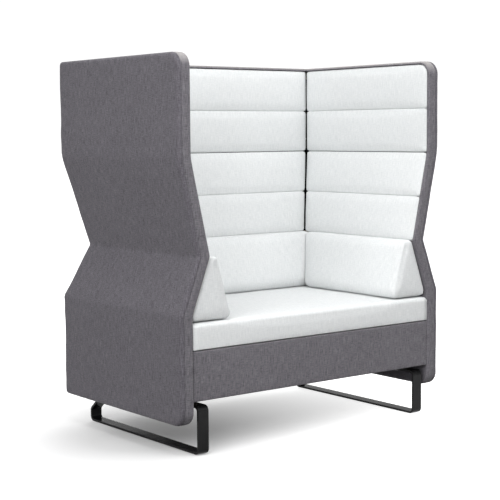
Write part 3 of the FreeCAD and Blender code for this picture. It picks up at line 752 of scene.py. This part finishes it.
def base_border():
    """The upholstered border at the front of the seat base."""
    edge = BORDER_EDGE
    length = BASE_HIGH.x - BASE_LOW.x
    height = BASE_HIGH.z - BASE_LOW.z
    depth = BASE_HIGH.y - BASE_LOW.y
    ss = lines(edge, length - edge, PANEL_STEP)
    ts = lines(edge, height - edge, PANEL_STEP)
    profile = rounded(edge, edge, BORDER_EDGE_LINES) + [(edge, depth), (0.0, depth)]
    points, faces = slab(ss, ts, (0, 0, 0, 0), (1, 1, 1, 1), profile)
    s, t, w = points.T
    lump = np.where(w < edge, ripple(points, BORDER_LUMP, SEEDS["border"]), 0.0)
    placed = np.stack([BASE_LOW.x + s, BASE_LOW.y + w + lump, BASE_LOW.z + t], axis=1)
    return piece_from("seat_border", placed, faces)


def dust_cover():
    """Thin cloth stretched under the seat frame, which sags a little, and the size it was cut to."""
    low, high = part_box("dust_cover")
    length, depth = high.x - low.x, high.y - low.y
    ss, ts = lines(0.0, length, DUST_STEP), lines(0.0, depth, DUST_STEP)
    points, faces = slab(ss, ts, (0, 0, 0, 0), (0, 0, 0, 0), [(0.0, 0.0), (0.0, DUST_THICKNESS)])
    s, t, w = points.T
    across, along = np.sin(math.pi * s / length), np.sin(math.pi * t / depth)
    sag = DUST_SAG * across ** DUST_SAG_POWER * along ** DUST_SAG_POWER
    ruck = ripple(points, DUST_RUCK, SEEDS["dust_cover"]) * along
    placed = np.stack([low.x + s, low.y + t, high.z - w - sag + ruck], axis=1)
    return piece_from("under_cloth", placed, faces), (length, depth)


# Camera, floor and light


def camera():
    """The photograph's camera, with its lens shifted to where the optical axis meets the frame."""
    az, el = CAMERA_AZIMUTH, CAMERA_ELEVATION
    back = Vector((math.sin(az) * math.cos(el), -math.cos(az) * math.cos(el), math.sin(el)))
    level = (-back).cross(Vector((0, 0, 1))).normalized()
    upright = level.cross(-back)
    right = math.cos(CAMERA_ROLL) * level + math.sin(CAMERA_ROLL) * upright
    up = math.cos(CAMERA_ROLL) * upright - math.sin(CAMERA_ROLL) * level
    data = bpy.data.cameras.new("camera")
    data.sensor_width = SENSOR
    data.lens = SENSOR * FOCAL_PIXELS / IMAGE
    data.shift_x = 0.5 - CENTRE_PIXEL[0] / IMAGE
    data.shift_y = CENTRE_PIXEL[1] / IMAGE - 0.5
    made = bpy.data.objects.new("camera", data)
    bpy.context.scene.collection.objects.link(made)
    turn = Matrix((right, up, back)).transposed()
    made.matrix_world = Matrix.Translation(CAMERA_PLACE) @ turn.to_4x4()
    bpy.context.scene.camera = made


def area_light(name, place, target, size, power):
    data = bpy.data.lights.new(name, "AREA")
    data.shape = "RECTANGLE"
    data.size, data.size_y = size
    data.energy = power
    made = bpy.data.objects.new(name, data)
    made.location = place
    made.rotation_euler = (Vector(target) - Vector(place)).to_track_quat("-Z", "Y").to_euler()
    bpy.context.scene.collection.objects.link(made)


def sky(world):
    """White behind the object, and dimmer above and below."""
    tree = world.node_tree
    way = add(tree, "ShaderNodeTexCoord")
    height = add(tree, "ShaderNodeSeparateXYZ", {"Vector": way.outputs["Generated"]}).outputs["Z"]
    level = SKY[0][1]
    for (low, one), (high, two) in zip(SKY, SKY[1:]):
        share = spread_out(tree, height, low, high)
        level = maths(tree, "ADD", level, maths(tree, "MULTIPLY", share, two - one))
    background = tree.nodes["Background"]
    background.inputs["Color"].default_value = (1.0, 1.0, 1.0, 1.0)
    tree.links.new(level, background.inputs["Strength"])


def studio():
    """Sky, lights, and a floor that throws no light back on the sofa."""
    scene = bpy.context.scene
    scene.view_settings.view_transform = "Standard"
    world = bpy.data.worlds.new("studio")
    world.use_nodes = True
    sky(world)
    scene.world = world
    for name, (place, target, size, power) in LIGHTS.items():
        area_light(name, place, target, size, power)

    mesh = bpy.data.meshes.new("floor")
    corners = [(x * FLOOR_REACH, y * FLOOR_REACH, 0) for x, y in ((-1, -1), (1, -1), (1, 1), (-1, 1))]
    mesh.from_pydata(corners, [], [(0, 1, 2, 3)])
    floor = bpy.data.objects.new("floor", mesh)
    scene.collection.objects.link(floor)
    floor.data.materials.append(floor_paint())
    floor.visible_diffuse = False


# Materials


def add(tree, kind, inputs=(), **settings):
    """A new node with its settings, and with its inputs set to values or linked to sockets."""
    made = tree.nodes.new(kind)
    for name, value in settings.items():
        setattr(made, name, value)
    for key, value in dict(inputs).items():
        if isinstance(value, bpy.types.NodeSocket):
            tree.links.new(value, made.inputs[key])
        else:
            made.inputs[key].default_value = value
    return made


def maths(tree, operation, *values):
    """The result of an operation on values or sockets."""
    return add(tree, "ShaderNodeMath", enumerate(values), operation=operation).outputs[0]


def mixed(tree, share, one, two):
    """A colour between two, by a share."""
    made = add(tree, "ShaderNodeMix", {0: share, 6: one, 7: two}, data_type="RGBA", clamp_factor=True)
    return made.outputs[2]


def blended(tree, values, shares):
    """The sum of named values, each times its share."""
    total = None
    for name, share in shares.items():
        part = maths(tree, "MULTIPLY", values[name], share)
        total = part if total is None else maths(tree, "ADD", total, part)
    return total


def noise(tree, vector, scale, detail=2.0, roughness=0.5):
    """Soft noise about 0.5, at a place."""
    inputs = {"Vector": vector, "Scale": scale, "Detail": detail, "Roughness": roughness}
    return add(tree, "ShaderNodeTexNoise", inputs).outputs["Fac"]


def spread_out(tree, value, low, high, first=0.0, last=1.0):
    """The stretch of a value from low to high, as a share from 0 to 1 or between two other values."""
    inputs = {"Value": value, "From Min": low, "From Max": high, "To Min": first, "To Max": last}
    return add(tree, "ShaderNodeMapRange", inputs).outputs["Result"]


def new_material(name, roughness):
    made = bpy.data.materials.new(name)
    made.use_nodes = True
    shader = made.node_tree.nodes["Principled BSDF"]
    shader.inputs["Roughness"].default_value = roughness
    return made, made.node_tree, shader


def finish_surface(tree, shader, colour, height, distance, strength):
    bump = add(tree, "ShaderNodeBump", {"Height": height, "Distance": distance, "Strength": strength})
    tree.links.new(colour, shader.inputs["Base Color"])
    tree.links.new(bump.outputs["Normal"], shader.inputs["Normal"])


def cloth_places(tree):
    """Places in the cloth in metres, across and along the side that it faces, and how far it faces up."""
    at = add(tree, "ShaderNodeTexCoord")
    place = add(tree, "ShaderNodeSeparateXYZ", {"Vector": at.outputs["Object"]})
    facing = add(tree, "ShaderNodeSeparateXYZ", {"Vector": at.outputs["Normal"]})
    x, y, z = (place.outputs[axis] for axis in "XYZ")
    nx, ny, nz = (maths(tree, "ABSOLUTE", facing.outputs[axis]) for axis in "XYZ")
    sideways = maths(tree, "GREATER_THAN", nx, maths(tree, "MAXIMUM", ny, nz))
    level = maths(tree, "GREATER_THAN", nz, maths(tree, "MAXIMUM", nx, ny))
    across = maths(tree, "ADD", x, maths(tree, "MULTIPLY", sideways, maths(tree, "SUBTRACT", y, x)))
    along = maths(tree, "ADD", z, maths(tree, "MULTIPLY", level, maths(tree, "SUBTRACT", y, z)))
    return at.outputs["Object"], across, along, facing.outputs["Z"]


def yarn(tree, across, along, width, length):
    """Streaks of single yarns, of the given width and length in metres."""
    vector = add(tree, "ShaderNodeCombineXYZ", {"X": maths(tree, "DIVIDE", across, width),
                                                "Y": maths(tree, "DIVIDE", along, length)})
    return noise(tree, vector.outputs["Vector"], 1.0, 3.0, 0.6)


def weave(tree, across, along, pitch):
    """Height of a plain weave with threads a pitch apart, from -1 to 1."""
    turn = 2 * math.pi / pitch
    warp = maths(tree, "SINE", maths(tree, "MULTIPLY", across, turn))
    weft = maths(tree, "SINE", maths(tree, "MULTIPLY", along, turn))
    return maths(tree, "MULTIPLY", warp, weft)


def fabric(name, dark, light, pitch, streaks, contrast, sheen, painted_top_light=None):
    """Woven cloth with uneven yarns both ways, soft mottling and a plain weave.

    The optional last colour is painted where the cloth faces up, as painted light from above, for cloth that
    gets it.
    """
    made, tree, shader = new_material(name, CLOTH_ROUGHNESS)
    shader.inputs["Specular IOR Level"].default_value = CLOTH_SHINE
    shader.inputs["Sheen Weight"].default_value = sheen
    shader.inputs["Sheen Roughness"].default_value = SHEEN_ROUGHNESS
    place, across, along, up = cloth_places(tree)
    width, length = streaks
    values = {
        "upright": yarn(tree, across, along, width, length),
        "level": yarn(tree, along, across, width, LEVEL_YARN * length),
        "speck": noise(tree, place, SPECK_SCALE, 1.0, 0.6),
        "cloud": noise(tree, place, CLOUD_SCALE, 2.0, 0.5),
        "thread": weave(tree, across, along, pitch),
    }
    share = spread_out(tree, blended(tree, values, CLOTH_SHADES), 0.5 - contrast, 0.5 + contrast)
    colour = mixed(tree, share, (*dark, 1.0), (*light, 1.0))
    if painted_top_light is not None:
        # Painted light: the colour goes lighter where the face turns up, as if lit from above.
        colour = mixed(tree, spread_out(tree, up, *TOP_LIGHT_TURN), colour, (*painted_top_light, 1.0))
    finish_surface(tree, shader, colour, blended(tree, values, CLOTH_RELIEF), pitch / 2, CLOTH_BUMP)
    return made


def timber(name, dark, light, roughness):
    """Straight-grained timber, with its grain running level."""
    made, tree, shader = new_material(name, roughness)
    place = add(tree, "ShaderNodeTexCoord").outputs["Object"]
    grain = add(tree, "ShaderNodeMapping", {"Vector": place, "Scale": GRAIN_SCALE}).outputs["Vector"]
    values = {
        "broad": noise(tree, grain, 1.0, 4.0, 0.6),
        "fine": noise(tree, grain, FINE_GRAIN_SCALE, 3.0, 0.7),
    }
    share = spread_out(tree, blended(tree, values, GRAIN_SHADES), *SHADE_STRETCH)
    colour = mixed(tree, share, (*dark, 1.0), (*light, 1.0))
    finish_surface(tree, shader, colour, values["fine"], *GRAIN_RELIEF)
    return made


def coated(name, dark, light, roughness, metal, shine, grain):
    """Paint, plastic or plated steel: nearly even, with a fine orange peel and slightly uneven gloss."""
    made, tree, shader = new_material(name, roughness)
    shader.inputs["Metallic"].default_value = metal
    shader.inputs["Specular IOR Level"].default_value = shine
    place = add(tree, "ShaderNodeTexCoord").outputs["Object"]
    cloud = noise(tree, place, COAT_CLOUD_SCALE, 3.0, 0.6)
    peel = noise(tree, place, grain, 1.0, 0.4)
    colour = mixed(tree, spread_out(tree, cloud, *SHADE_STRETCH), (*dark, 1.0), (*light, 1.0))
    gloss = [roughness + change for change in COAT_GLOSS]
    tree.links.new(spread_out(tree, cloud, *CLOUD_STRETCH, *gloss), shader.inputs["Roughness"])
    finish_surface(tree, shader, colour, peel, *COAT_RELIEF)
    return made


def floor_paint():
    """White floor, nearly even, that glows as painted light, and less round the centre of its painted shadow.
    """
    made, tree, shader = new_material("floor", FLOOR_ROUGHNESS)
    shader.inputs["Specular IOR Level"].default_value = 0.0
    shader.inputs["Emission Color"].default_value = (1.0, 1.0, 1.0, 1.0)
    place = add(tree, "ShaderNodeTexCoord").outputs["Object"]
    # Painted shadow: the glow dims towards the shadow's centre under the sofa.
    away = add(tree, "ShaderNodeVectorMath", {0: place, 1: FLOOR_SHADOW_CENTRE}, operation="DISTANCE").outputs["Value"]
    tree.links.new(spread_out(tree, away, *FLOOR_FADE, *FLOOR_GLOWS), shader.inputs["Emission Strength"])
    cloud = spread_out(tree, noise(tree, place, FLOOR_CLOUD_SCALE), *CLOUD_STRETCH)
    low, high = FLOOR_SHADES
    tree.links.new(mixed(tree, cloud, (low,) * 3 + (1.0,), (high,) * 3 + (1.0,)), shader.inputs["Base Color"])
    return made


def dress(piece, node, slot, *materials, fill=None):
    """Give a piece its materials, and put it in the place of a node, on the node's body."""
    for material in materials:
        piece.data.materials.append(material)
    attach(piece, node.replace("_cushion", "") if "arm" in node else "frame")
    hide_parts(node)


grey = fabric("grey_fabric", (0.058, 0.054, 0.063), (0.163, 0.153, 0.173), sheen=0.18, **GREY_WEAVE)
# The edge bands and the seat border take a lighter copy of the grey cloth, as painted light; the bands' last
# colour is painted top light where they turn up.
painted_light_side_band, painted_light_back_band, border = (
    fabric(name, (0.070, 0.066, 0.075), (0.205, 0.194, 0.214), sheen=0.25, painted_top_light=painted_top_light, **GREY_WEAVE)
    for name, painted_top_light in (("side_band_painted_light_fabric", (0.31, 0.297, 0.295)), ("back_band_painted_light_fabric", (0.26, 0.25, 0.25)),
                      ("border_painted_light_fabric", None)))
pale = fabric("pale_fabric", (0.605, 0.624, 0.630), (0.762, 0.772, 0.772), sheen=0.05, **PALE_WEAVE)
black_cloth = fabric("black_cloth", (0.012, 0.012, 0.013), (0.030, 0.030, 0.032), sheen=0.0, **BLACK_WEAVE)
FINISHES = {
    "outer_fabric": grey,
    "pad_fabric": pale,
    "black_cloth": black_cloth,
    "timber": timber("plywood", (0.40, 0.28, 0.17), (0.60, 0.46, 0.31), 0.65),
    "stained_timber": timber("stained_timber", (0.030, 0.020, 0.016), (0.075, 0.050, 0.038), 0.5),
    "black_paint": coated("black_paint", (0.006, 0.006, 0.0065), (0.010, 0.010, 0.0105),
                          roughness=0.16, metal=0.0, shine=0.11, grain=900.0),
    "black_plastic": coated("black_plastic", (0.015, 0.015, 0.016), (0.025, 0.025, 0.026),
                            roughness=0.55, metal=0.0, shine=0.4, grain=400.0),
    "zinc_steel": coated("zinc_steel", (0.50, 0.50, 0.53), (0.64, 0.64, 0.65),
                         roughness=0.32, metal=1.0, shine=0.5, grain=900.0),
}
for part in frame["record"]["subparts"]:
    node = frame["nodes"][part["node"]]
    node.data.materials.clear()
    node.data.materials.append(FINISHES[part["material_slot"]])

for side, way in (("left", -1), ("right", 1)):
    dress(side_panel(side, way), f"{side}_panel_cover", "outer_fabric", grey, pale, painted_light_side_band, fill=1.0)
for number, pad in enumerate(left_pads(), 1):
    twin = mirrored(pad, f"right_row_{number}")
    # The black cloth at the side rows' front ends is painted shade.
    dress(pad, f"left_pad_{number}", "pad_fabric", pale, black_cloth, fill=0.9)
    dress(twin, f"right_pad_{number}", "pad_fabric", pale, black_cloth, fill=0.9)
arm = left_arm_cushion()
twin = mirrored(arm, "right_arm_wedge")
dress(arm, "left_arm_cushion", "pad_fabric", pale, fill=0.8)
dress(twin, "right_arm_cushion", "pad_fabric", pale, fill=0.8)
dress(back_panel(), "back_panel_cover", "outer_fabric", grey, pale, painted_light_back_band, fill=1.0)
for number, pad in enumerate(back_pads(), 1):
    dress(pad, f"back_pad_{number}", "pad_fabric", pale, fill=0.9)
dress(back_cushion(), "back_cushion", "pad_fabric", pale, fill=0.8)
dress(seat_cushion(), "seat_cushion", "pad_fabric", pale, fill=0.9)
# The border's cloth is the lighter copy of the grey, as painted light.
dress(base_border(), "base_border", "outer_fabric", border, fill=1.0)
cover, flat = dust_cover()
dress(cover, "dust_cover", "black_cloth", black_cloth)

camera()
studio()
